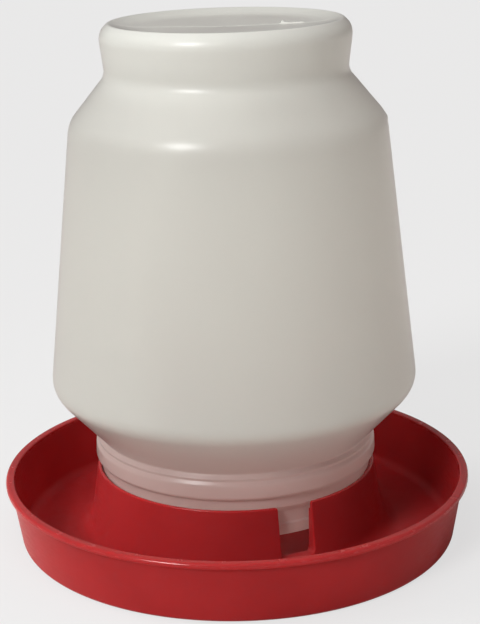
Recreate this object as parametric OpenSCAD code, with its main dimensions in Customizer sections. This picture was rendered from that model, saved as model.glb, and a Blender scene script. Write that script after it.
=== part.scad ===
// Poultry waterer fount: an inverted plastic jar standing in a round drinking tray.
// Millimetres. +Z is up, the origin is the centre of the underside of the tray, and the
// drinking notch of the collar faces -Y. Outlines are lists of [radius, height, rounding].

/* [Tray] */
// Diameter over the rim of the tray
tray_d = 232; // [226:1:244]
// Height of the rim above the ground
tray_h = 32; // [28:1:36]
// Thickness of the outer wall
tray_wall = 1.7; // [1.4:0.1:2.2]
// Thickness of the floor
floor_t = 2.2; // [1.8:0.1:3]
// Lean of the outer wall, in degrees from upright
tray_draft = 8.8; // [6:0.2:10]
// How far the rim lip stands out from the wall
lip_w = 2.4; // [1.6:0.1:3]
// Height of the rim lip
lip_h = 2.8; // [2.4:0.1:4]

/* [Collar] */
// Height of the collar above the ground
collar_h = 36.6; // [36.2:0.2:39]
// Thickness of the collar wall at its top
collar_wall = 1.5; // [1.3:0.1:2.2]
// Lean of the outside of the collar, in degrees from upright
collar_draft = 9; // [7.5:0.5:10]
// Radius of the sweep from the collar into the floor
collar_sweep = 9; // [8:0.5:12]
// Width of the drinking notch
notch_w = 17; // [12:0.2:22]
// Height of the sill of the notch above the ground
sill_h = 11.5; // [8:0.5:14]
// Depth of the jamb on each side of the notch, collar wall included
jamb_depth = 2.9; // [2.2:0.1:3.6]
// Number of ribs that the mouth of the jar stands on
support_ribs = 4; // [3:1:8]

/* [Jar] */
// Height of the top of the jar above the ground
jar_h = 254.6; // [240:0.2:280]
// Height of the mouth of the jar above the ground, which sets the water level
mouth_h = 20.5; // [18:0.5:20.5]
// Wall thickness of the jar
jar_wall = 1.5; // [1.2:0.1:2]
// Diameter of the neck
neck_d = 128.8; // [127:0.2:129]
// Diameter where the body would be widest if its shoulder were a sharp corner
body_d = 180.4; // [174:0.2:188]
// Lean of the lower shoulder, in degrees from upright
low_shoulder = 42.4; // [38:0.2:50]
// Lean of the body, in degrees from upright
body_taper = 6.58; // [5.6:0.02:7.6]
// Lean of the upper shoulder, in degrees from upright
high_shoulder = 39.6; // [36:0.2:46]
// Diameter of the waist under the crown
waist_d = 114.4; // [110:0.2:118]
// Depth of the dish in the top of the jar
dish_depth = 3.4; // [2:0.2:6]

/* [Hidden] */
$fn = 128;
arc_steps = 7;
slack = 0.5;

// Tray outline
rim_r = tray_d / 2;
wall_r = rim_r - lip_w;
wall_lean = tan(tray_draft);
foot_r = wall_r - (tray_h - lip_h) * wall_lean;
inner_r = wall_r - tray_wall;
well_edge_r = inner_r - (tray_h - floor_t) * wall_lean;

// Neck of the jar and the lip round its mouth
neck_r = neck_d / 2;
mouth_r = neck_r + 0.6;
mouth_band = 5.5;
lug_w = 22;
lug_h = 2.4;
jar_lug_z = mouth_h + 6.6;
jar_lug_r = neck_r + 2.6;

// Collar round the neck
collar_in_r = jar_lug_r + 0.7;
collar_r = collar_in_r + collar_wall;
collar_root_r = collar_r + (collar_h - floor_t) * tan(collar_draft);
collar_lug_r = mouth_r + 0.5;
collar_lug_z = jar_lug_z + lug_h + 0.5;
jamb_r = max(collar_r - jamb_depth, mouth_r + slack);
jamb_w = 2.4;
collar_edge = 0.4 * collar_wall;
core_h = 6.5;

// Top of the neck, which widens to fill the mouth of the collar
sleeve_r = collar_in_r - 0.6;
sleeve_z = collar_h - 0.8;
flare_z = collar_lug_z + lug_h + 0.2;
jamb_h = flare_z + 1.2;

// Hollow bead above the neck, just clear of the collar, with a groove over it
band_z = collar_h + 5;
band_r = collar_r + 0.7;
band_bore_r = band_r - 2.2;
groove_z = band_z + 12.5;
groove_r = band_r - 2.9;

// Corners of the jar's body, where the straight stretches meet
low_z = groove_z + (body_d / 2 - groove_r) / tan(low_shoulder);
waist_r = waist_d / 2;
waist_z = jar_h - 24.1;
high_z = (waist_r - body_d / 2 + waist_z * tan(high_shoulder) - low_z * tan(body_taper))
    / (tan(high_shoulder) - tan(body_taper));
high_r = body_d / 2 - (high_z - low_z) * tan(body_taper);
crown_r = waist_r + 2.2;

function unit(v) = v / norm(v);
function point(c) = [c[0], c[1]];
function side(a, b) = [-unit(b - a).y, unit(b - a).x];

// Arc of radius r that rounds the corner b between a and c
function corner(a, b, c, r) = r <= 0 ? [b] :
    let (
        u = unit(a - b),
        w = unit(c - b),
        half = acos(u * w) / 2,
        centre = b + unit(u + w) * r / sin(half),
        from = b + u * r / tan(half) - centre,
        to = b + w * r / tan(half) - centre,
        start = atan2(from.y, from.x),
        turn = atan2(cross(from, to), from * to)
    )
    [for (i = [0:arc_steps])
        centre + r * [cos(start + turn * i / arc_steps), sin(start + turn * i / arc_steps)]];

// Closed outline with every corner rounded
function rounded(path) = let (n = len(path))
    [for (i = [0:n - 1]) each corner(
        point(path[(i + n - 1) % n]), point(path[i]), point(path[(i + 1) % n]), path[i][2])];

// The same open path moved to its left by t, with its roundings kept concentric
function inset(path, t) = let (n = len(path))
    [for (i = [0:n - 1])
        let (
            b = point(path[i]),
            before = side(point(path[max(i, 1) - 1]), point(path[max(i, 1)])),
            after = side(point(path[min(i, n - 2)]), point(path[min(i, n - 2) + 1])),
            move = (before + after) * t / (1 + before * after),
            turn = sign(cross(before, after))
        )
        [b.x + move.x, b.y + move.y, path[i][2] > 0 ? max(path[i][2] - turn * t, 0.3) : 0]];

// Ring segment, w degrees wide, centred on the angle at
module ring_lug(at, w, inner, outer, z, h) {
    rotate([0, 0, at - w / 2])
        rotate_extrude(angle = w)
            translate([inner, z])
                square([outer - inner, h]);
}

// The tray as it is turned: outer wall with its rim lip, floor, and collar
module tray_shell() {
    rotate_extrude()
        polygon(rounded([
            [0, 0, 0],
            [collar_in_r + 1.8, 0, 0],
            [collar_in_r + 2.4, core_h, 0.7],
            [collar_root_r - 2.2, core_h, 0.7],
            [collar_root_r + 2.6, 0, 0],
            [foot_r, 0, 3],
            [wall_r, tray_h - lip_h, 0.4],
            [rim_r, tray_h - lip_h, 0.9],
            [rim_r, tray_h, 1.4],
            [inner_r, tray_h, 0.8],
            [well_edge_r, floor_t, 5],
            [collar_root_r, floor_t, collar_sweep],
            [collar_r, collar_h, collar_edge],
            [collar_in_r, collar_h, collar_edge],
            [collar_in_r - 0.4, floor_t, 2.5],
            [0, floor_t, 0],
        ]));
}

// Upright jambs that stiffen the collar on both sides of the notch
module jambs() {
    intersection() {
        difference() {
            cylinder(r = collar_in_r + 1, h = jamb_h);
            translate([0, 0, -1])
                cylinder(r = jamb_r, h = jamb_h + 2);
        }
        for (x = [-notch_w / 2 - jamb_w, notch_w / 2])
            translate([x, -collar_r, floor_t - 1])
                cube([jamb_w, collar_r, collar_h]);
    }
}

// Ribs on the floor inside the collar, which the mouth of the jar stands on
module supports() {
    for (i = [0:support_ribs - 1])
        rotate([0, 0, 45 + i * 360 / support_ribs])
            translate([mouth_r - 8, -1.1, floor_t - 1])
                cube([collar_in_r - mouth_r + 9, 2.2, mouth_h - floor_t + 1]);
}

// Opening in the collar, rounded at its sill and where its sides meet the top
module notch() {
    half = notch_w / 2;
    translate([0, 1 - jamb_r + 3, 0])
        rotate([90, 0, 0])
            linear_extrude(height = collar_root_r - jamb_r + 14)
                polygon(rounded([
                    [-half, sill_h, 2.5],
                    [half, sill_h, 2.5],
                    [half, collar_h, 1.2],
                    [half + 3, collar_h, 0],
                    [half + 3, collar_h + 3, 0],
                    [-half - 3, collar_h + 3, 0],
                    [-half - 3, collar_h, 0],
                    [-half, collar_h, 1.2],
                ]));
}

module tray() {
    color([0.70, 0.10, 0.13])
        difference() {
            union() {
                tray_shell();
                jambs();
                supports();
                for (at = [0, 90, 180])
                    ring_lug(at, lug_w, collar_lug_r, collar_in_r + 1, collar_lug_z, lug_h);
            }
            notch();
        }
}

// Outside of the jar, from the mouth up to the middle of the dish in its top
jar_outside = [
    [mouth_r, mouth_h, 0.9],
    [mouth_r, mouth_h + mouth_band, 0.7],
    [neck_r, mouth_h + mouth_band + 0.8, 0.5],
    [neck_r, flare_z, 1],
    [sleeve_r, sleeve_z, 1],
    [sleeve_r, band_z - 0.4, 0.6],
    [band_r, band_z, 2.4],
    [band_r - 0.3, band_z + 7.6, 3],
    [band_r - 1.5, band_z + 9.3, 0.6],
    [band_r - 1.2, band_z + 10.5, 0.6],
    [groove_r, groove_z, 0.8],
    [body_d / 2, low_z, 12],
    [high_r, high_z, 16],
    [waist_r, waist_z, 7],
    [crown_r, jar_h - 4.4, 8],
    [crown_r - 4.5, jar_h + 0.17, 1.8],
    [crown_r - 15, jar_h - dish_depth + 0.9, 50],
    [0, jar_h - dish_depth, 0],
];
groove_corner = 10;

// Inside of the jar: from the dish down to the groove it is the outside less the wall, then
// come the hollow of the bead and the bore of the neck
function jar_inside() = let (shell = inset(jar_outside, jar_wall), last = len(shell) - 1)
    concat(
        [for (i = [last:-1:groove_corner]) [max(shell[i][0], 0), shell[i][1], shell[i][2]]],
        [
            [band_bore_r, band_z + 7.2, 2],
            [band_bore_r, band_z + 2.2, 1],
            [sleeve_r - jar_wall, band_z + 1.6, 0.8],
            [sleeve_r - jar_wall, sleeve_z, 1],
            [neck_r - jar_wall, flare_z, 1],
            [neck_r - jar_wall, mouth_h, 0.5],
        ]
    );

module jar() {
    color([0.86, 0.85, 0.80])
        union() {
            rotate_extrude()
                polygon(rounded(concat(jar_outside, jar_inside())));
            for (i = [0:3])
                ring_lug(45 + 90 * i, lug_w, neck_r - 0.5, jar_lug_r, jar_lug_z, lug_h);
        }
}

tray();
jar();
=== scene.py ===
"""Looks of the poultry waterer fount: a translucent blown jar standing mouth down in a moulded red tray.

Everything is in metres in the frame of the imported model. Outlines are worked out in millimetres
and scaled by MM. Azimuths of the tray's mesh are measured from -Y, where its drinking notch is.
"""

import math

import bmesh
import bpy
import numpy as np
from mathutils import Matrix, Vector


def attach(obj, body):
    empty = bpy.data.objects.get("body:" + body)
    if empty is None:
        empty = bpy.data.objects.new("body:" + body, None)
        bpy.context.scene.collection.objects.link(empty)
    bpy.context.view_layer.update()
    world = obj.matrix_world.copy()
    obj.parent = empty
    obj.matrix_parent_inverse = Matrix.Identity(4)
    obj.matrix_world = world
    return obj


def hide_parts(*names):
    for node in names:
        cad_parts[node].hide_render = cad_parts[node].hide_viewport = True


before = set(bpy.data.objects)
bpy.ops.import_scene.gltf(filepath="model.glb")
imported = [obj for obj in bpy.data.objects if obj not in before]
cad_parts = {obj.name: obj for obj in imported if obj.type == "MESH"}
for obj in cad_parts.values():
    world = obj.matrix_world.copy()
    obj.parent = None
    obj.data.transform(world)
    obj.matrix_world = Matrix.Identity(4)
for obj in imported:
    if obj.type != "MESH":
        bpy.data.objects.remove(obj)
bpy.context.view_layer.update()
MM = 0.001


# ---------------------------------------------------------------- outlines


def tan(a):
    return math.tan(math.radians(a))


def fillet(a, b, c, r, step):
    """Points of the arc of radius r that rounds the corner b between a and c."""
    if r <= 0:
        return [b]
    u, w = a - b, c - b
    u, w = u / np.linalg.norm(u), w / np.linalg.norm(w)
    half = math.acos(max(-1.0, min(1.0, float(u @ w)))) / 2
    mid = (u + w) / np.linalg.norm(u + w)
    centre = b + mid * r / math.sin(half)
    first, last = b + u * r / math.tan(half) - centre, b + w * r / math.tan(half) - centre
    start = math.atan2(first[1], first[0])
    turn = math.atan2(first[0] * last[1] - first[1] * last[0], float(first @ last))
    n = max(2, math.ceil(abs(turn) / math.radians(step)))
    return [
        centre + r * np.array([math.cos(start + turn * i / n), math.sin(start + turn * i / n)])
        for i in range(n + 1)
    ]


def rounded(path, step=7.5):
    """Open outline of [radius, height, rounding] corners, as points, ends kept sharp."""
    out = [np.array(path[0][:2], float)]
    for a, b, c in zip(path[:-2], path[1:-1], path[2:]):
        a2, b2, c2 = (np.array(p[:2], float) for p in (a, b, c))
        out += fillet(a2, b2, c2, b[2], step)
    return out + [np.array(path[-1][:2], float)]


def inset(path, t):
    """The open path moved to its left by t, with its roundings kept concentric."""
    pts = [np.array(p[:2], float) for p in path]
    left = []
    for a, b in zip(pts[:-1], pts[1:]):
        d = (b - a) / np.linalg.norm(b - a)
        left.append((d, np.array([-d[1], d[0]])))
    out = []
    for i, p in enumerate(path):
        (d0, n0), (d1, n1) = left[max(i - 1, 0)], left[min(i, len(left) - 1)]
        move = (n0 + n1) * t / (1 + float(n0 @ n1))
        bend = float(np.sign(d0[0] * d1[1] - d0[1] * d1[0]))
        out.append([pts[i][0] + move[0], pts[i][1] + move[1], max(p[2] - bend * t, 0.3) if p[2] > 0 else 0])
    return out


def spread(points, longest):
    """The same outline with its long straight stretches cut into shorter ones."""
    out = [points[0]]
    for a, b in zip(points[:-1], points[1:]):
        n = max(1, math.ceil(np.linalg.norm(b - a) / longest))
        out += [a + (b - a) * k / n for k in range(1, n + 1)]
    return out


# ---------------------------------------------------------------- sizes, as in the CAD model

rim_r, tray_h, lip_w, lip_h = 116.0, 32.0, 2.4, 2.8
floor_t, collar_h, core_h = 2.2, 36.6, 6.5
wall_r = rim_r - lip_w
lean = tan(8.8)
foot_r = wall_r - (tray_h - lip_h) * lean
inner_r = wall_r - 1.7
well_edge_r = inner_r - (tray_h - floor_t) * lean
neck_r = 64.4
mouth_r, mouth_h = neck_r + 0.6, 20.5
jar_lug_z, jar_lug_r, lug_h = mouth_h + 6.6, neck_r + 2.6, 2.4
collar_in_r = jar_lug_r + 0.7
collar_r = collar_in_r + 1.5
collar_root_r = collar_r + (collar_h - floor_t) * tan(9)
jamb_r, jamb_w = collar_r - 2.9, 2.4
notch_half, sill_h = 8.5, 11.5
sleeve_r, sleeve_z = collar_in_r - 0.6, collar_h - 0.8
flare_z = jar_lug_z + 2 * lug_h + 0.7
band_z, band_r = collar_h + 5, collar_r + 0.7
groove_z, groove_r = band_z + 12.5, band_r - 2.9
jar_h, jar_wall, body_r, waist_r = 254.6, 1.5, 90.2, 57.2
low_z = groove_z + (body_r - groove_r) / tan(42.4)
waist_z = jar_h - 24.1
high_z = (waist_r - body_r + waist_z * tan(39.6) - low_z * tan(6.58)) / (tan(39.6) - tan(6.58))
high_r = body_r - (high_z - low_z) * tan(6.58)
crown_r, dish = waist_r + 2.2, 3.4

# Plane of the mould's parting line, as an azimuth from +X
SEAM = math.radians(-23.65)


def new_object(name, verts, faces, sharp, finishes=None):
    """Mesh object with smooth shading; finishes gives the material slot of each face."""
    mesh = bpy.data.meshes.new(name)
    mesh.from_pydata([tuple(v) for v in verts], [], faces)
    if finishes is not None:
        mesh.polygons.foreach_set("material_index", finishes)
    work = bmesh.new()
    work.from_mesh(mesh)
    bmesh.ops.remove_doubles(work, verts=work.verts, dist=1e-7)
    bmesh.ops.dissolve_degenerate(work, edges=work.edges, dist=1e-7)
    bmesh.ops.recalc_face_normals(work, faces=work.faces)
    work.to_mesh(mesh)
    work.free()
    mesh.shade_smooth()
    mesh.set_sharp_from_angle(angle=math.radians(sharp))
    made = bpy.data.objects.new(name, mesh)
    bpy.context.scene.collection.objects.link(made)
    return made


# ---------------------------------------------------------------- jar


def smooth(x):
    """Smooth step from 0 to 1."""
    x = np.clip(x, 0, 1)
    return x * x * (3 - 2 * x)


def jar_columns():
    """Azimuths of the jar's columns: even, and closer by the parting line and the ends of the lugs."""
    at = set(np.round(np.arange(0, 360, 1.25), 4))
    for s in (math.degrees(SEAM) % 360, math.degrees(SEAM) % 360 + 180):
        for d in (0, 0.16, 0.34, 0.6, 0.95, 1.5):
            at |= {round((s + d) % 360, 4), round((s - d) % 360, 4)}
    for c in (45, 135, 225, 315):
        for d in (-11, 11):
            for e in (-0.3, 0, 0.35, 0.8):
                at.add(round(c + d - math.copysign(e, d), 4))
    ordered = sorted(at)
    kept = [ordered[0]]
    for a in ordered[1:]:
        if a - kept[-1] > 0.1:
            kept.append(a)
    return np.radians(kept)


def jar_outline():
    """Outer and inner outline of the jar's wall, each from a point on the end of the mouth."""
    outside = [
        [mouth_r, mouth_h, 0.9],
        [mouth_r, mouth_h + 5.5, 0.7],
        [neck_r, mouth_h + 6.3, 0.5],
        [neck_r, flare_z, 1],
        [sleeve_r, sleeve_z, 1],
        [sleeve_r, band_z - 0.4, 0.6],
        [band_r, band_z, 2.4],
        [band_r - 0.3, band_z + 7.6, 3],
        [band_r - 1.5, band_z + 9.3, 0.6],
        [band_r - 1.2, band_z + 10.5, 0.6],
        [groove_r, groove_z, 0.8],
        [body_r, low_z, 12],
        [high_r, high_z, 16],
        [waist_r, waist_z, 7],
        [crown_r, jar_h - 4.4, 8],
        [crown_r - 4.5, jar_h + 0.15, 1.8],
        [crown_r - 15, jar_h - dish + 0.9, 50],
        [0, jar_h - dish, 0],
    ]
    shell = inset(outside, jar_wall)
    inside = [[max(p[0], 0), p[1], p[2]] for p in shell[:9:-1]]
    inside += [[band_r - 2.2, band_z + 7.2, 2], [band_r - 2.2, band_z + 2.2, 1]]
    inside += [[sleeve_r - jar_wall, band_z + 1.6, 0.8], [sleeve_r - jar_wall, sleeve_z, 1]]
    inside += [[neck_r - jar_wall, flare_z, 1], [neck_r - jar_wall, mouth_h, 0.5]]
    loop_out = rounded([[neck_r - jar_wall + 0.8, mouth_h, 0]] + outside, 6)
    loop_in = rounded(inside + [[neck_r - jar_wall + 0.8, mouth_h, 0]], 10)
    return loop_out, loop_in


def lug_rows(points):
    """Adds the rows on the neck at which the lugs begin and end."""
    out = []
    for a, b in zip(points[:-1], points[1:]):
        out.append(a)
        if abs(a[0] - neck_r) < 0.02 and abs(b[0] - neck_r) < 0.02:
            for z in (-0.25, 0, 0.35, 0.8, lug_h - 0.8, lug_h - 0.35, lug_h, lug_h + 0.25):
                if a[1] < jar_lug_z + z < b[1]:
                    out.append(np.array([neck_r, jar_lug_z + z]))
    return out + [points[-1]]


def ripple(az, z):
    """Slow unevenness of a blown wall, from -1 to 1."""
    return (
        np.sin(2 * az + 0.7 + z * 0.011)
        + 0.8 * np.sin(3 * az - 1.9 - z * 0.019)
        + 0.6 * np.sin(5 * az + 2.2 + z * 0.043)
        + 0.5 * np.sin(z * 0.061 + 2.6 * np.cos(az + 0.4))
        + 0.35 * np.sin(9 * az + 0.05 * z)
    ) / 3.25


def build_jar():
    """Jar with its lugs, parting line and weld scar raised on rings of vertices."""
    az = jar_columns()
    dish_r = crown_r - 6
    loop_out, loop_in = jar_outline()
    loop_out = lug_rows(spread(loop_out, 2.6))
    top = [p for p in loop_out if p[1] > jar_h - 6 and p[0] < dish_r]
    loop_out = [p for p in loop_out if p[1] <= jar_h - 6 or p[0] >= dish_r] + spread(top, 1.2)
    loop_in = spread(loop_in, 6)
    rows = [(p, True) for p in loop_out] + [(p, False) for p in loop_in[:-1]]
    verts, start = [], []
    for (r, z), outer in rows:
        start.append(len(verts))
        if r < 1e-6:
            verts.append((0, 0, z * MM))
            continue
        rr, zz = np.full(len(az), r), np.full(len(az), z)
        off = np.sin(az - SEAM) * r
        along = np.cos(az - SEAM) * r
        if outer and z > band_z - 1:
            slow = smooth((z - groove_z - 6) / 20) * smooth((jar_h - 10 - z) / 18)
            rr = rr + slow * (0.16 * ripple(az, z) - 0.1)
            line = np.exp(-((off / 0.42) ** 2))
            if r > crown_r - 4.6:
                # Parting line up the side, with a burr on it
                height = 0.13 + 0.05 * np.sin(z * 0.9) * np.sin(z * 0.31)
                burr = np.exp(-(((z - 207.5) / 1.3) ** 2)) * (along > 0)
                rr = rr + line * (height + 0.55 * burr)
            elif r < dish_r:
                # Weld across the dish, with a ragged scar near one end of it
                fade = smooth((dish_r - r) / 5)
                weld = 0.12 + 0.04 * np.sin(along * 1.7) * np.sin(along * 0.6 + 1)
                wide = np.exp(-(((off + 0.25 * np.sin(along * 1.3)) / 0.95) ** 4))
                scar = smooth((along - 25.5) / 1.2) * smooth((37.5 - along) / 1.6)
                rag = 0.75 + 0.45 * np.sin(along * 2.9) * np.cos(along * 1.1 + off * 2)
                flash = np.exp(-(((along - 26.8) / 0.8) ** 2) - ((off - 0.5) / 0.5) ** 2)
                sag = 0.108 * np.sin(3 * az + 1) * smooth(r / 30) * smooth((46 - r) / 14)
                zz = zz + fade * line * weld + wide * scar * 0.55 * rag + 1.5 * flash + sag
        # Lugs, with their edges rounded off over 0.35 mm
        if outer and jar_lug_z - 0.3 < z < jar_lug_z + lug_h + 0.3:
            inz = min(z - jar_lug_z, jar_lug_z + lug_h - z)
            hz = 0.0 if inz < -0.1 else 0.88 + 0.12 * float(smooth(np.array(inz / 0.35)))
            dist = 11 - np.minimum((np.degrees(az) - 45) % 90, 90 - (np.degrees(az) - 45) % 90)
            ha = np.where(dist < -0.1, 0.0, 0.88 + 0.12 * smooth(dist / 0.35))
            rr = rr + (jar_lug_r - neck_r) * hz * ha
        verts += list(zip(rr * np.cos(az) * MM, rr * np.sin(az) * MM, zz * MM))
    n = len(az)
    faces, finishes = [], []
    total = len(rows)
    for k in range(total):
        k2 = (k + 1) % total
        r1, r2 = rows[k][0][0], rows[k2][0][0]
        a, b = start[k], start[k2]
        for i in range(n):
            j = (i + 1) % n
            if r1 < 1e-6 and r2 < 1e-6:
                break
            if r1 < 1e-6:
                faces.append((a, b + j, b + i))
            elif r2 < 1e-6:
                faces.append((a + i, a + j, b))
            else:
                faces.append((a + i, a + j, b + j, b + i))
        finishes += [0 if rows[k][1] else 1] * (len(faces) - len(finishes))
    return new_object("jar_shell", verts, faces, 40, finishes)


# ---------------------------------------------------------------- tray

tray_under = [
    [0, 0, 0],
    [collar_in_r + 1.8, 0, 0.3],
    [collar_in_r + 2.4, core_h, 0.7],
    [collar_root_r - 2.2, core_h, 0.7],
    [collar_root_r + 2.6, 0, 0.3],
    [foot_r, 0, 3],
    [wall_r, tray_h - lip_h, 0.4],
    [rim_r, tray_h - lip_h, 0.9],
    [rim_r, tray_h, 1.4],
    [inner_r, tray_h, 0.8],
    [well_edge_r, floor_t, 5],
    [collar_root_r, floor_t, 9],
    [collar_r, collar_h, 0],
]
tray_within = [[collar_in_r, collar_h, 0], [collar_in_r - 0.4, floor_t, 2.5], [0, floor_t, 0]]
# The collar's walls are a lattice from BASE_Z up, and all its edges are rounded by ROUND
BASE_Z, ROUND = 8.0, 0.6
outline_out = rounded(tray_under, 7.5)
outline_in = rounded(tray_within, 15)
collar_side = np.array([p for p in outline_out if p[1] > floor_t][-12:])


def wall_out(z):
    """Radius of the collar's outside at height z."""
    return float(np.interp(z, collar_side[:, 1], collar_side[:, 0]))


def wall_in(z):
    """Radius of the collar's inside at height z."""
    return collar_in_r - 0.4 * (collar_h - z) / (collar_h - floor_t)


class Column:
    """A column of the tray's mesh, by its azimuth from -Y; near the notch it runs at a steady x."""

    def __init__(self, x=None, turn=None):
        self.turn = math.asin(x / 70) if turn is None else turn
        self.x = 70 * math.sin(self.turn) if x is None else x
        self.hold = 0.0 if x is None else float(1 - smooth((abs(x) - 11) / 10))

    def at(self, r, z, x=None):
        """Point of the column at radius r and height z, with its steady x moved to x."""
        if self.hold <= 0:
            return (r * math.sin(self.turn) * MM, -r * math.cos(self.turn) * MM, z * MM)
        steady = self.x if x is None else x
        held = steady * (r / 80 if r > 80 else 1 if r > 60 else r / 60)
        px = self.hold * held + (1 - self.hold) * r * math.sin(self.turn)
        return (px * MM, -math.sqrt(max(r * r - px * px, 0)) * MM, z * MM)


def notch_edge():
    """Right half of the notch's outline, from the middle of the sill to the top of the collar.
    Each entry is (x, z of the edge, x, z one rounding back from it, kind)."""
    out = []
    for x in np.linspace(0, notch_half - 2.5, 6)[:-1]:
        out.append((x, sill_h, x, sill_h - ROUND, "sill"))
    cx, cz = notch_half - 2.5, sill_h + 2.5
    for i in range(9):
        a = math.radians(90 * i / 8)
        s, c = math.sin(a), math.cos(a)
        kind = "sill" if i < 4 else "low" if i == 4 else "side"
        out.append((cx + 2.5 * s, cz - 2.5 * c, cx + (2.5 + ROUND) * s, cz - (2.5 + ROUND) * c, kind))
    top = collar_h - 1.2
    for z in list(np.linspace(cz, top - 0.9, 18)[1:]) + [top - 0.75, top - 0.4]:
        out.append((notch_half, z, notch_half + ROUND, z, "side"))
    for i in range(7):
        b = math.radians(90 * i / 6)
        s, c = math.sin(b), math.cos(b)
        kind = "side" if i < 3 else "high" if i == 3 else "top"
        cx, back = notch_half + 1.2, 1.2 - ROUND
        out.append((cx - 1.2 * c, top + 1.2 * s, cx - back * c, top + back * s, kind))
    return out


def build_tray():
    """Tray as one closed mesh: turned surfaces up to the collar's foot, then the notched collar."""
    edge = notch_edge()
    sill = [e for e in edge if e[4] == "sill"]
    sides = [e for e in edge if e[4] in ("low", "side", "high")]
    tops = [e for e in edge if e[4] == "top"]
    near = [10.2, notch_half + jamb_w - 0.02, notch_half + jamb_w + 0.12, 12, 13.4, 15, 17, 19, 21]
    # Columns: from the middle of the notch round to the middle again
    cols, kinds, tip = [], [], []

    def add(col, kind, e):
        cols.append(col)
        kinds.append(kind)
        tip.append(e)

    for e in sill:
        add(Column(x=e[2]), "sill", e)
    low = sides[0]
    add(Column(x=low[2]), "corner", low)
    for e in tops:
        add(Column(x=e[2]), "wall", e)
    for x in near:
        add(Column(x=x), "wall", (x, collar_h, x, collar_h - ROUND, "top"))
    first = math.asin(21 / 70)
    around = np.linspace(first, 2 * math.pi - first, 218)[1:-1]
    for a in around:
        add(Column(turn=a), "wall", (None, collar_h, None, collar_h - ROUND, "top"))
    mirrored = list(zip(cols, kinds, tip))[1 : len(sill) + 1 + len(tops) + len(near)]
    for col, kind, e in reversed(mirrored):
        add(Column(x=-col.x), kind, (-e[0], e[1], -e[2], e[3], e[4]))
    n = len(cols)
    side_n = len(sides)
    low_rows = 4
    rows = low_rows + side_n - 1

    verts, faces = [], []

    def vert(p):
        verts.append(p)
        return len(verts) - 1

    def lattice(radius, inner):
        """Wall of the collar from BASE_Z up to one rounding below its edge."""
        grid = {}
        for j in range(n):
            sign = -1 if j > n // 2 else 1
            for k in range(rows + 1):
                if kinds[j] == "sill":
                    if k > low_rows:
                        continue
                    x, z = tip[j][2], BASE_Z + (tip[j][3] - BASE_Z) * k / low_rows
                elif k <= low_rows:
                    x, z = cols[j].x, BASE_Z + (low[3] - BASE_Z) * k / low_rows
                else:
                    side = sides[k - low_rows]
                    x = sign * side[2] if kinds[j] == "corner" else cols[j].x
                    z = side[3] if k < rows or kinds[j] == "corner" else tip[j][3]
                grid[j, k] = vert(cols[j].at(radius(x, z, cols[j], inner), z, x))
        for j in range(n):
            j2 = (j + 1) % n
            for k in range(rows):
                q = [grid.get((j, k)), grid.get((j2, k)), grid.get((j2, k + 1)), grid.get((j, k + 1))]
                if None not in q:
                    faces.append(tuple(q))
        return grid

    def radius(x, z, col, inner):
        """Radius of the collar's outside, or of its inside with the jambs of the notch."""
        if not inner:
            return wall_out(z)
        beside = col.hold > 0 and notch_half - 0.6 < abs(x) < notch_half + jamb_w + 0.05
        return jamb_r if beside and sill_h < z < flare_z + 1.2 - ROUND else wall_in(z)

    outer = lattice(radius, False)
    inner = lattice(radius, True)

    # The chain of edge points right round the collar: sill, corner, side, top, and back
    chain = []
    for j in range(n):
        if kinds[j] == "corner":
            sign = -1 if j > n // 2 else 1
            climb = [(j, low_rows + i, sign * e[0], e[1]) for i, e in enumerate(sides)]
            chain += climb if sign > 0 else climb[::-1]
        else:
            chain.append((j, low_rows if kinds[j] == "sill" else rows, *tip[j][:2]))
    sections = []
    for j, k, xe, ze in chain:
        col = cols[j]
        ro, ri = radius(xe, ze, col, False), radius(xe, ze, col, True)
        c_out, c_in = Vector(col.at(ro, ze, xe)), Vector(col.at(ri, ze, xe))
        a_out, a_in = Vector(verts[outer[j, k]]), Vector(verts[inner[j, k]])
        across = (c_in - c_out).normalized()
        b_out, b_in = c_out + across * ROUND * MM, c_in - across * ROUND * MM
        points = [outer[j, k]]
        arcs = (a_out, b_out, c_out, range(1, 5)), (a_in, b_in, c_in, range(4, 0, -1))
        for a, b, c, order in arcs:
            centre = a + b - c
            for i in order:
                t = math.pi / 2 * i / 4
                points.append(vert(centre + math.cos(t) * (a - centre) + math.sin(t) * (b - centre)))
        points.append(inner[j, k])
        sections.append(points)
    for s, t in zip(sections, sections[1:] + sections[:1]):
        for k in range(len(s) - 1):
            faces.append((s[k], t[k], t[k + 1], s[k + 1]))

    def turned(points, grid):
        """Turned surface from the middle of the floor to the foot of the collar wall."""
        rings = []
        for r, z in points:
            rings.append([vert((0, 0, z * MM))] * n if r < 1e-6 else [vert(c.at(r, z)) for c in cols])
        rings.append([grid[j, 0] for j in range(n)])
        for a, b in zip(rings[:-1], rings[1:]):
            for j in range(n):
                j2 = (j + 1) % n
                q = []
                for v in (a[j], a[j2], b[j2], b[j]):
                    if v not in q:
                        q.append(v)
                if len(q) > 2:
                    faces.append(tuple(q))

    below = spread(outline_out, 5)
    while below[-1][1] >= BASE_Z - 0.3:
        below.pop()
    turned(below, outer)
    within = [p for p in spread(outline_in, 5) if p[1] < BASE_Z - 0.3]
    turned(within[::-1], inner)
    return new_object("tray_body", verts, faces, 34)


def block(corners, bevel):
    """Closed eight-cornered block with rounded edges, as a bmesh."""
    work = bmesh.new()
    v = [work.verts.new(c) for c in corners]
    for q in ((0, 1, 2, 3), (7, 6, 5, 4), (0, 4, 5, 1), (1, 5, 6, 2), (2, 6, 7, 3), (3, 7, 4, 0)):
        work.faces.new([v[i] for i in q])
    bmesh.ops.recalc_face_normals(work, faces=work.faces)
    bmesh.ops.bevel(work, geom=list(work.edges), offset=bevel, segments=3, profile=0.5, affect="EDGES")
    return work


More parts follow.
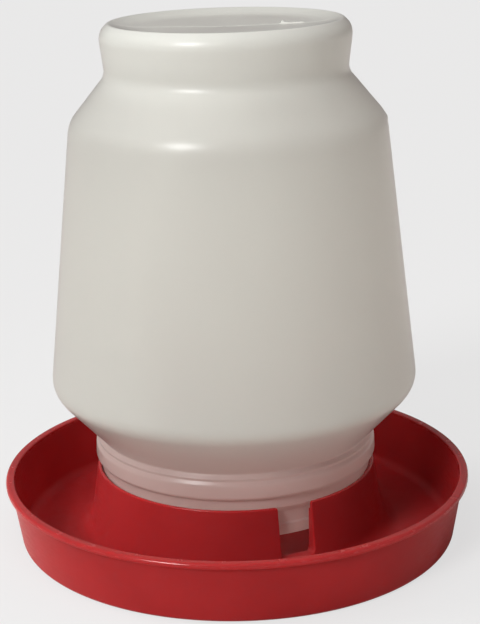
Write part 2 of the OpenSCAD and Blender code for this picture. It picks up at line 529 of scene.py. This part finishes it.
def ring_block(at, width, r0, r1, z0, z1, bevel):
    """Closed ring segment with rounded edges, as a bmesh. Azimuths are from +X."""
    work = bmesh.new()
    n = 14
    rings = []
    for i in range(n + 1):
        a = math.radians(at - width / 2 + width * i / n)
        c, s = math.cos(a) * MM, math.sin(a) * MM
        section = ((r0, z0), (r1, z0), (r1, z1), (r0, z1))
        rings.append([work.verts.new((r * c, r * s, z * MM)) for r, z in section])
    for a, b in zip(rings[:-1], rings[1:]):
        for k in range(4):
            work.faces.new((a[k], a[(k + 1) % 4], b[(k + 1) % 4], b[k]))
    work.faces.new(rings[0][::-1])
    work.faces.new(rings[-1])
    bmesh.ops.recalc_face_normals(work, faces=work.faces)
    sharp = [e for e in work.edges if e.calc_face_angle(0) > math.radians(40)]
    bmesh.ops.bevel(work, geom=sharp, offset=bevel, segments=3, profile=0.5, affect="EDGES")
    return work


def build_tray_details():
    """Ribs under the jar's mouth, lugs inside the collar, and the feet of the notch's jambs."""
    parts = []
    for i in range(4):
        turn = Matrix.Rotation(math.radians(45 + 90 * i), 4, "Z")
        x0, x1, y = mouth_r - 8, collar_in_r + 0.6, 1.1
        foot = ((x0, -y), (x1, -y), (x1, y), (x0, y))
        heights = (floor_t - 0.8, mouth_h - 0.02)
        parts.append(block([turn @ (Vector((*p, z)) * MM) for z in heights for p in foot], 0.4 * MM))
    collar_lug_z = jar_lug_z + lug_h + 0.5
    for at in (0, 90, 180):
        spans = mouth_r + 0.5, collar_in_r + 0.9, collar_lug_z, collar_lug_z + lug_h
        parts.append(ring_block(at, 22, *spans, 0.35 * MM))
    for s in (-1, 1):
        xa, xb = s * (notch_half + 0.02), s * (notch_half + jamb_w)
        corners = []
        for z in (floor_t - 0.8, sill_h + 3.2):
            for x, r in ((xa, jamb_r), (xb, jamb_r), (xb, collar_in_r + 0.6), (xa, collar_in_r + 0.6)):
                corners.append(Vector((x, -math.sqrt(r * r - x * x), z)) * MM)
        parts.append(block(corners, 0.3 * MM))
    verts, faces = [], []
    for work in parts:
        work.verts.index_update()
        base = len(verts)
        verts += [tuple(v.co) for v in work.verts]
        faces += [tuple(base + v.index for v in f.verts) for f in work.faces]
        work.free()
    return new_object("tray_details", verts, faces, 50)


# ---------------------------------------------------------------- materials


def node_material(name):
    mat = bpy.data.materials.new(name)
    mat.use_nodes = True
    tree = mat.node_tree
    tree.nodes.clear()
    return mat, tree


def add_node(tree, kind, **inputs):
    node = tree.nodes.new(kind)
    for key, value in inputs.items():
        if key in node.inputs:
            node.inputs[key].default_value = value
        else:
            setattr(node, key, value)
    return node


def noise(tree, coords, scale, detail=3.0, rough=0.5):
    node = add_node(tree, "ShaderNodeTexNoise")
    node.inputs["Scale"].default_value = scale
    node.inputs["Detail"].default_value = detail
    node.inputs["Roughness"].default_value = rough
    tree.links.new(coords, node.inputs["Vector"])
    return node.outputs["Fac"]


def remap(tree, value, a, b, lo, hi):
    node = add_node(tree, "ShaderNodeMapRange")
    for key, v in (("From Min", a), ("From Max", b), ("To Min", lo), ("To Max", hi)):
        node.inputs[key].default_value = v
    tree.links.new(value, node.inputs["Value"])
    return node.outputs["Result"]


def mix_colour(tree, factor, one, two):
    """Mix of two colours, each a tuple or a socket."""
    node = tree.nodes.new("ShaderNodeMix")
    node.data_type = "RGBA"
    for key, v in (("A", one), ("B", two)):
        socket = [s for s in node.inputs if s.name == key and s.type == "RGBA"][0]
        if isinstance(v, tuple):
            socket.default_value = (*v, 1)
        else:
            tree.links.new(v, socket)
    tree.links.new(factor, node.inputs[0])
    return [s for s in node.outputs if s.type == "RGBA"][0]


def mix_number(tree, factor, one, two):
    node = tree.nodes.new("ShaderNodeMix")
    node.data_type = "FLOAT"
    tree.links.new(factor, node.inputs[0])
    tree.links.new(one, node.inputs[2])
    tree.links.new(two, node.inputs[3])
    return node.outputs[0]


def bump(tree, height, strength, distance, normal=None):
    node = add_node(tree, "ShaderNodeBump")
    node.inputs["Strength"].default_value = strength
    node.inputs["Distance"].default_value = distance
    tree.links.new(height, node.inputs["Height"])
    if normal is not None:
        tree.links.new(normal, node.inputs["Normal"])
    return node.outputs["Normal"]


def stretched(tree, coords, scale):
    node = add_node(tree, "ShaderNodeMapping")
    node.inputs["Scale"].default_value = scale
    tree.links.new(coords, node.inputs["Vector"])
    return node.outputs["Vector"]


def height_of(tree, coords):
    node = add_node(tree, "ShaderNodeSeparateXYZ")
    tree.links.new(coords, node.inputs["Vector"])
    return node.outputs["Z"]


def red_plastic():
    """Moulded plastic that glows a little through its thickness, and is glossy where it is worn."""
    mat, tree = node_material("red_plastic_moulded")
    coords = add_node(tree, "ShaderNodeTexCoord").outputs["Object"]
    out = add_node(tree, "ShaderNodeOutputMaterial")
    body = add_node(tree, "ShaderNodeBsdfPrincipled")
    cloud = noise(tree, coords, 22, 4, 0.55)
    patch = remap(tree, cloud, 0.35, 0.65, 0.0, 1.0)
    colour = mix_colour(tree, patch, (0.325, 0.018, 0.020), (0.375, 0.022, 0.024))
    tree.links.new(colour, body.inputs["Base Color"])
    scuff = noise(tree, stretched(tree, coords, (40, 40, 260)), 4, 5, 0.6)
    rough = remap(tree, scuff, 0.4, 0.75, 0.30, 0.42)
    # The tray's rim and the top of its collar are worn smooth by handling
    z = height_of(tree, coords)
    from_axis = add_node(tree, "ShaderNodeVectorMath", operation="LENGTH")
    tree.links.new(stretched(tree, coords, (1, 1, 0)), from_axis.inputs["Vector"])
    rim = add_node(tree, "ShaderNodeMath", operation="MULTIPLY")
    tree.links.new(remap(tree, z, 0.0300, 0.0314, 0.0, 1.0), rim.inputs[0])
    tree.links.new(remap(tree, from_axis.outputs["Value"], 0.090, 0.092, 0.0, 1.0), rim.inputs[1])
    worn = add_node(tree, "ShaderNodeMath", operation="MAXIMUM")
    tree.links.new(rim.outputs[0], worn.inputs[0])
    tree.links.new(remap(tree, z, 0.0361, 0.0364, 0.0, 1.0), worn.inputs[1])
    worn = worn.outputs[0]
    gloss = mix_number(tree, worn, rough, remap(tree, scuff, 0.4, 0.65, 0.05, 0.30))
    tree.links.new(gloss, body.inputs["Roughness"])
    tree.links.new(remap(tree, worn, 0.0, 1.0, 0.08, 0.50), body.inputs["Specular IOR Level"])
    grain = noise(tree, coords, 1500, 2, 0.5)
    peel = noise(tree, coords, 240, 2, 0.5)
    normal = bump(tree, grain, 0.10, 0.00012)
    normal = bump(tree, peel, 0.10, 0.0004, normal)
    tree.links.new(normal, body.inputs["Normal"])
    body.inputs["Subsurface Weight"].default_value = 0.8
    body.inputs["Subsurface Radius"].default_value = (1.0, 0.1, 0.1)
    body.inputs["Subsurface Scale"].default_value = 0.005
    tree.links.new(body.outputs["BSDF"], out.inputs["Surface"])
    return mat


def natural_plastic():
    """The outer skin of the jar's wall: it reflects, glows with the light behind it, and is glossy."""
    mat, tree = node_material("natural_plastic_blown")
    coords = add_node(tree, "ShaderNodeTexCoord").outputs["Object"]
    out = add_node(tree, "ShaderNodeOutputMaterial")
    thick = noise(tree, stretched(tree, coords, (1, 1, 0.45)), 14, 4, 0.55)
    streak = noise(tree, stretched(tree, coords, (1, 1, 0.12)), 130, 3, 0.5)
    grain = noise(tree, coords, 900, 2, 0.5)
    normal = bump(tree, grain, 0.05, 0.0001)
    normal = bump(tree, streak, 0.04, 0.0003, normal)
    z = height_of(tree, coords)
    # Near the tray the wall is tinted pink: painted red light from the tray, in both the wall's colour and
    # the light it passes
    low = remap(tree, z, 0.047, 0.082, 1.0, 0.0)
    body = add_node(tree, "ShaderNodeBsdfDiffuse")
    patch = remap(tree, thick, 0.35, 0.65, 0.0, 1.0)
    colour = mix_colour(tree, patch, (0.93, 0.965, 0.905), (0.955, 0.99, 0.935))
    # Pink near the tray: painted red light
    tree.links.new(mix_colour(tree, low, colour, (1.0, 0.77, 0.72)), body.inputs["Color"])
    through = add_node(tree, "ShaderNodeBsdfTranslucent")
    # The light the wall passes turns pink near the tray as well: painted red light
    glow = mix_colour(tree, low, (0.98, 0.975, 0.925), (1.0, 0.69, 0.65))
    tree.links.new(glow, through.inputs["Color"])
    clear = add_node(tree, "ShaderNodeBsdfTransparent")
    clear.inputs["Color"].default_value = (0.96, 0.93, 0.88, 1)
    # The wall passes over half the light that meets it, and less in the thicker crown
    blend = add_node(tree, "ShaderNodeMixShader")
    crown = remap(tree, z, 0.222, 0.240, 0.0, 1.0)
    wall_share = remap(tree, thick, 0.3, 0.7, 0.58, 0.66)
    crown_share = remap(tree, thick, 0.3, 0.7, 0.46, 0.52)
    tree.links.new(mix_number(tree, crown, wall_share, crown_share), blend.inputs["Fac"])
    tree.links.new(body.outputs["BSDF"], blend.inputs[1])
    tree.links.new(through.outputs["BSDF"], blend.inputs[2])
    # Round the neck it shows what lies close behind it
    hazy = add_node(tree, "ShaderNodeMixShader")
    tree.links.new(remap(tree, low, 0.0, 1.0, 0.05, 0.14), hazy.inputs["Fac"])
    tree.links.new(blend.outputs["Shader"], hazy.inputs[1])
    tree.links.new(clear.outputs["BSDF"], hazy.inputs[2])
    sheen = add_node(tree, "ShaderNodeBsdfGlossy")
    sheen.inputs["Roughness"].default_value = 0.30
    tree.links.new(normal, sheen.inputs["Normal"])
    edge = add_node(tree, "ShaderNodeFresnel")
    edge.inputs["IOR"].default_value = 1.5
    final = add_node(tree, "ShaderNodeMixShader")
    tree.links.new(edge.outputs["Fac"], final.inputs["Fac"])
    tree.links.new(hazy.outputs["Shader"], final.inputs[1])
    tree.links.new(sheen.outputs["BSDF"], final.inputs[2])
    tree.links.new(final.outputs["Shader"], out.inputs["Surface"])
    return mat


def natural_plastic_within():
    """The inner skin of the jar's wall, which adds only its own sheen to what the outer skin does."""
    mat, tree = node_material("natural_plastic_within")
    coords = add_node(tree, "ShaderNodeTexCoord").outputs["Object"]
    out = add_node(tree, "ShaderNodeOutputMaterial")
    body = add_node(tree, "ShaderNodeBsdfPrincipled")
    thick = noise(tree, stretched(tree, coords, (1, 1, 0.45)), 14, 4, 0.55)
    colour = mix_colour(tree, thick, (0.84, 0.82, 0.75), (0.90, 0.88, 0.82))
    tree.links.new(colour, body.inputs["Base Color"])
    body.inputs["Roughness"].default_value = 0.35
    grain = noise(tree, coords, 900, 2, 0.5)
    tree.links.new(bump(tree, grain, 0.06, 0.0002), body.inputs["Normal"])
    clear = add_node(tree, "ShaderNodeBsdfTransparent")
    blend = add_node(tree, "ShaderNodeMixShader")
    blend.inputs["Fac"].default_value = 0.95
    tree.links.new(body.outputs["BSDF"], blend.inputs[1])
    tree.links.new(clear.outputs["BSDF"], blend.inputs[2])
    tree.links.new(blend.outputs["Shader"], out.inputs["Surface"])
    return mat


def floor_material():
    """Pale floor: nearly even to the camera, and a warm diffuse one to everything else."""
    mat, tree = node_material("studio_floor")
    out = add_node(tree, "ShaderNodeOutputMaterial")
    coords = add_node(tree, "ShaderNodeTexCoord").outputs["Object"]
    cloud = noise(tree, coords, 3, 2, 0.5)
    shade = add_node(tree, "ShaderNodeBsdfDiffuse")
    shade.inputs["Color"].default_value = (0.74, 0.70, 0.67, 1)
    lit = add_node(tree, "ShaderNodeBsdfDiffuse")
    tone = mix_colour(tree, cloud, (0.795, 0.795, 0.795), (0.805, 0.805, 0.805))
    tree.links.new(tone, lit.inputs["Color"])
    glow = add_node(tree, "ShaderNodeEmission")
    glow.inputs["Color"].default_value = (0.835, 0.835, 0.835, 1)
    pale = add_node(tree, "ShaderNodeMixShader")
    pale.inputs["Fac"].default_value = 0.8
    tree.links.new(lit.outputs["BSDF"], pale.inputs[1])
    tree.links.new(glow.outputs["Emission"], pale.inputs[2])
    seen = add_node(tree, "ShaderNodeMixShader")
    tree.links.new(add_node(tree, "ShaderNodeLightPath").outputs["Is Camera Ray"], seen.inputs["Fac"])
    tree.links.new(shade.outputs["BSDF"], seen.inputs[1])
    tree.links.new(pale.outputs["Shader"], seen.inputs[2])
    tree.links.new(seen.outputs["Shader"], out.inputs["Surface"])
    return mat


# ---------------------------------------------------------------- scene

jar = build_jar()
tray = build_tray()
details = build_tray_details()
red, natural = red_plastic(), natural_plastic()
jar.data.materials.append(natural)
jar.data.materials.append(natural_plastic_within())
tray.data.materials.append(red)
details.data.materials.append(red)
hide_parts("jar")
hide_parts("tray")
for piece, body, finish in (
    (jar, "reservoir", "natural_plastic"),
    (tray, "base", "red_plastic"),
    (details, "base", "red_plastic"),
):
    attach(piece, body)

bpy.ops.mesh.primitive_plane_add(size=60, location=(0, 0, 0))
floor = bpy.context.object
floor.name = "studio_floor"
floor.data.materials.append(floor_material())

# Pale dome that carries the floor's tone on above the horizon; it neither lights nor shades
bpy.ops.mesh.primitive_uv_sphere_add(radius=5, segments=64, ring_count=32, location=(0, 0, 0))
dome = bpy.context.object
dome.name = "studio_dome"
dome.data.shade_smooth()
dome.data.materials.append(floor.data.materials[0])
dome.visible_diffuse = dome.visible_glossy = dome.visible_transmission = False
dome.visible_shadow = False

# Camera: a long lens from a little above the jar, ASIDE degrees to the left of the notch
ASIDE = math.radians(23.2)
DISTANCE, HEIGHT = 0.7380, 0.3334
PITCH, YAW, ROLL = math.radians(17.289), math.radians(-2.006), math.radians(-1.966)
cam = bpy.data.objects.new("camera", bpy.data.cameras.new("camera"))
bpy.context.scene.collection.objects.link(cam)
heading = YAW + ASIDE
level = Vector((math.sin(heading), math.cos(heading), 0))
forward = level * math.cos(PITCH) - Vector((0, 0, math.sin(PITCH)))
right = Vector((math.cos(heading), -math.sin(heading), 0))
up = right.cross(forward)
right, up = (
    math.cos(ROLL) * right + math.sin(ROLL) * up,
    math.cos(ROLL) * up - math.sin(ROLL) * right,
)
place = Vector((-DISTANCE * math.sin(ASIDE), -DISTANCE * math.cos(ASIDE), HEIGHT))
turn = Matrix((right, up, -forward)).transposed().to_4x4()
cam.matrix_world = Matrix.Translation(place) @ turn
cam.data.sensor_width = 36
cam.data.lens = 90.34
cam.data.shift_x, cam.data.shift_y = 0.09615, 0.02965
cam.data.clip_start, cam.data.clip_end = 0.05, 50
bpy.context.scene.camera = cam

# Light: a soft key from the upper left, one behind the jar, a box above and a dim surround
world = bpy.data.worlds.new("surround")
world.use_nodes = True
world.node_tree.nodes["Background"].inputs["Color"].default_value = (1.0, 0.90, 0.87, 1)
world.node_tree.nodes["Background"].inputs["Strength"].default_value = 0.29
bpy.context.scene.world = world


def light(name, kind, towards, energy):
    """Light that shines along the direction opposite to towards."""
    made = bpy.data.objects.new(name, bpy.data.lights.new(name, kind))
    bpy.context.scene.collection.objects.link(made)
    made.rotation_mode = "QUATERNION"
    made.rotation_quaternion = towards.to_track_quat("Z", "Y")
    made.data.energy = energy
    return made


def softbox(name, azimuth, away, height, power, size):
    """Square light aimed at the jar, from azimuth (0 in front at -Y, 90 at +X)."""
    a = math.radians(azimuth)
    place = Vector((math.sin(a) * away, -math.cos(a) * away, height))
    made = light(name, "AREA", place - Vector((0, 0, 0.14)), power)
    made.location = place
    made.data.shape = "SQUARE"
    made.data.size = size
    return made


def sun(name, azimuth, elevation, strength, angle):
    """Distant light from azimuth (0 in front at -Y, 90 at +X), elevation degrees up."""
    a, e = math.radians(azimuth), math.radians(elevation)
    towards = Vector((math.sin(a) * math.cos(e), -math.cos(a) * math.cos(e), math.sin(e)))
    made = light(name, "SUN", towards, strength)
    made.data.angle = math.radians(angle)
    return made


sun("key", -60, 35, 1.86, 18)
sun("back", -126, 40, 1.45, 30).visible_glossy = False
softbox("top", -50, 0.24, 0.58, 1.05, 0.35).visible_glossy = False

bpy.context.scene.cycles.diffuse_bounces = 10
bpy.context.scene.cycles.max_bounces = 16
bpy.context.scene.view_settings.view_transform = "Standard"
bpy.context.scene.view_settings.look = "None"
